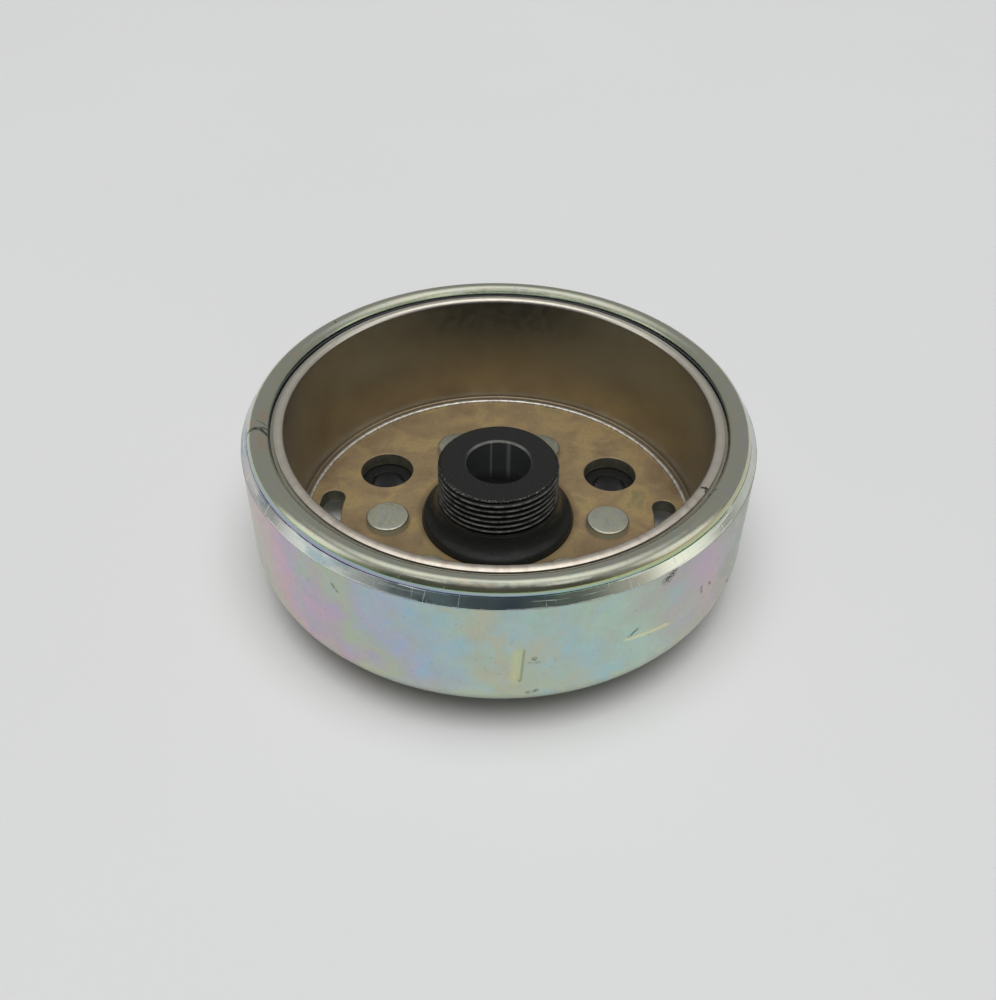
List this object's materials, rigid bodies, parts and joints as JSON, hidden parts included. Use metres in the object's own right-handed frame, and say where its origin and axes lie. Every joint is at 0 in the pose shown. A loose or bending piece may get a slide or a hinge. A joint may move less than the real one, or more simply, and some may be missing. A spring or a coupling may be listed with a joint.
{
  "type": "magneto flywheel rotor",
  "caption": "Cup-shaped outer rotor with magnets behind a thin liner, a riveted threaded hub with taper bore, and a bolt circle for a starter clutch.",
  "frame": {"origin": "on the rotation axis at the underside of the hub flange, the face the starter clutch bolts against", "axes": "+Z along the rotation axis, out of the open mouth of the cup; +Y points away from the keyway, to the middle of the gap between two bolt holes"},
  "size_m": [0.1128, 0.1128, 0.0416],
  "materials": {
    "zinc_plated_steel": "satin zinc plate with a faint yellow and blue passivate tint",
    "black_oxide_steel": "machined steel, black oxide",
    "rivet_steel": "satin plated steel",
    "stainless_liner": "satin stainless steel",
    "ferrite_magnet": "dark ceramic magnet",
    "spacer_plastic": "moulded heat-resistant plastic"
  },
  "bodies": {
    "root": {"rotor_cup": "zinc_plated_steel", "hub": "black_oxide_steel", "hub_rivets": "rivet_steel", "magnet_sleeve": "stainless_liner", "lower_spacer_ring": "spacer_plastic", "upper_spacer_ring": "spacer_plastic", "magnet_1": "ferrite_magnet", "magnet_divider_1": "spacer_plastic", "magnet_2": "ferrite_magnet", "magnet_divider_2": "spacer_plastic", "magnet_3": "ferrite_magnet", "magnet_divider_3": "spacer_plastic", "magnet_4": "ferrite_magnet", "magnet_divider_4": "spacer_plastic", "magnet_5": "ferrite_magnet", "magnet_divider_5": "spacer_plastic", "magnet_6": "ferrite_magnet", "magnet_divider_6": "spacer_plastic"}
  },
  "joints": []
}
